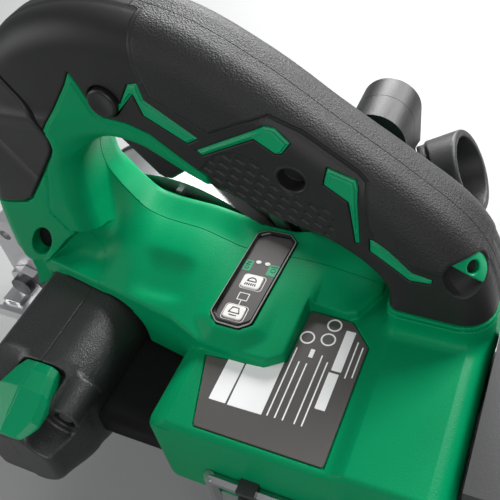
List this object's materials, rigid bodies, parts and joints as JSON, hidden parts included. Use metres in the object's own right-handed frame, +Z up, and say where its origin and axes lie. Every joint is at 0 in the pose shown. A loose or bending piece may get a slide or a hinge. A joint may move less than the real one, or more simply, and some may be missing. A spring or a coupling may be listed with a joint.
{
  "type": "cordless metal-cutting circular saw",
  "caption": "Cordless metal-cutting circular saw with a dust case and hose nozzle, a top loop handle, a sidewinder motor, a rear battery and a hinged sole.",
  "frame": {"origin": "on the underside of the sole, below the blade spindle, in the housing's split plane", "axes": "+X to the rear (battery end), -X the cutting direction, +Y to the blade side, -Y to the motor side, +Z up from the sole"},
  "size_m": [0.335, 0.1804, 0.2392],
  "materials": {
    "plate": "satin",
    "steel": "satin",
    "aluminium": "cast",
    "blade": "brushed",
    "black_plastic": "matte",
    "black_textured": "textured",
    "black_gloss": "glossy",
    "dark_grey": "matte",
    "green_plastic": "satin",
    "copper": "wound wire",
    "soft_grip": "textured",
    "panel_grey": "satin",
    "button_grey": "satin",
    "lamp_green": "glossy",
    "clear_lens": "clear",
    "board": "satin"
  },
  "bodies": {
    "sole": {"sole_plate": "plate", "depth_pivot_pin": "steel", "depth_link": "steel"},
    "saw": {"gear_case": "aluminium", "motor_bracket": "aluminium", "spindle_bearing": "steel", "needle_bearing": "steel", "dust_chamber": "black_gloss", "dust_cover": "black_gloss", "cover_screws": "steel", "motor_housing": "black_textured", "motor_tail": "black_textured", "tail_bumper": "green_plastic", "tail_screws": "steel", "stator": "copper", "front_bearing": "steel", "rear_bearing": "steel", "housing_left": "green_plastic", "housing_right": "green_plastic", "grip_left": "soft_grip", "grip_right": "soft_grip", "inlays_left": "green_plastic", "inlays_right": "green_plastic", "front_cover": "black_textured", "shell_screws": "steel", "trigger_switch": "dark_grey", "strap_eye": "green_plastic", "panel_frame": "black_plastic", "panel_face": "panel_grey", "status_leds": "lamp_green", "nameplate": "panel_grey", "head_lamp": "clear_lens", "controller": "board", "terminal_block": "black_plastic", "depth_bolt": "steel", "wrench_clip": "black_plastic"},
    "spindle_set": {"spindle": "steel", "spur_gear": "steel", "inner_flange": "steel", "outer_flange": "steel", "blade_bolt": "steel", "blade": "blade"},
    "rotor_set": {"rotor": "steel", "fan": "black_plastic", "pinion": "steel"},
    "guard": {"lower_guard": "plate", "guard_lever": "black_plastic"},
    "nozzle": {"dust_nozzle": "dark_grey"},
    "trigger": {"trigger": "black_plastic"},
    "lock": {"lock_bar": "black_plastic"},
    "lamp_key": {"lamp_button": "button_grey"},
    "mode_key": {"mode_button": "button_grey"},
    "spindle_stop": {"spindle_lock": "black_plastic"},
    "battery": {"battery_pack": "black_textured"},
    "left_latch": {"latch_left": "dark_grey"},
    "right_latch": {"latch_right": "dark_grey"},
    "clamp": {"depth_lever": "black_plastic"},
    "wrench": {"hex_wrench": "steel"}
  },
  "joints": [
    {"name": "depth_hinge", "type": "hinge", "parent": "sole", "child": "saw", "pos_m": [-0.094, 0, 0.016], "axis": [0, -1, 0], "range_deg": [0, 16]},
    {"name": "spindle_spin", "type": "hinge", "parent": "saw", "child": "spindle_set", "pos_m": [0, 0, 0.0225], "axis": [0, 1, 0], "continuous": true},
    {"name": "rotor_spin", "type": "hinge", "parent": "saw", "child": "rotor_set", "pos_m": [-0.01248, 0, 0.03876], "axis": [0, 1, 0], "continuous": true},
    {"name": "guard_swing", "type": "hinge", "parent": "saw", "child": "guard", "pos_m": [0, 0, 0.0225], "axis": [0, -1, 0], "range_deg": [0, 165], "stiffness_Nm_per_rad": 0.03, "springref_deg": -85.94},
    {"name": "nozzle_turn", "type": "hinge", "parent": "saw", "child": "nozzle", "pos_m": [0.1235, 0.04265, 0.09427], "axis": [0.9003, 0.3766, 0.2181], "continuous": true},
    {"name": "trigger_pull", "type": "hinge", "parent": "saw", "child": "trigger", "pos_m": [0.004, 0, 0.149], "axis": [0, -1, 0], "range_deg": [0, 8], "stiffness_Nm_per_rad": 1, "springref_deg": -17.19},
    {"name": "lock_push", "type": "slide", "parent": "saw", "child": "lock", "axis": [0, 1, 0], "range_m": [0, 0.003], "stiffness_N_per_m": 300, "springref_m": -0.01},
    {"name": "lamp_press", "type": "slide", "parent": "saw", "child": "lamp_key", "axis": [0, 0, -1], "range_m": [0, 0.0008], "stiffness_N_per_m": 500, "springref_m": -0.001},
    {"name": "mode_press", "type": "slide", "parent": "saw", "child": "mode_key", "axis": [0, 0, -1], "range_m": [0, 0.0008], "stiffness_N_per_m": 500, "springref_m": -0.001},
    {"name": "spindle_stop_press", "type": "slide", "parent": "saw", "child": "spindle_stop", "axis": [0, 1, 0], "range_m": [0, 0.003], "stiffness_N_per_m": 300, "springref_m": -0.01},
    {"name": "battery_slide", "type": "slide", "parent": "saw", "child": "battery", "axis": [1, 0, 0], "range_m": [0, 0.06]},
    {"name": "left_latch_press", "type": "slide", "parent": "battery", "child": "left_latch", "axis": [0, 1, 0], "range_m": [0, 0.002], "stiffness_N_per_m": 500, "springref_m": -0.004},
    {"name": "right_latch_press", "type": "slide", "parent": "battery", "child": "right_latch", "axis": [0, -1, 0], "range_m": [0, 0.002], "stiffness_N_per_m": 500, "springref_m": -0.004},
    {"name": "clamp_turn", "type": "hinge", "parent": "saw", "child": "clamp", "pos_m": [0.08, 0, 0.03], "axis": [0, -1, 0], "range_deg": [0, 40]},
    {"name": "wrench_slide", "type": "slide", "parent": "saw", "child": "wrench", "axis": [-1, 0, 0], "range_m": [0, 0.05]}
  ],
  "couplings": [
    {"joint": "rotor_spin", "follows": "spindle_spin", "ratio": -3.5556}
  ]
}
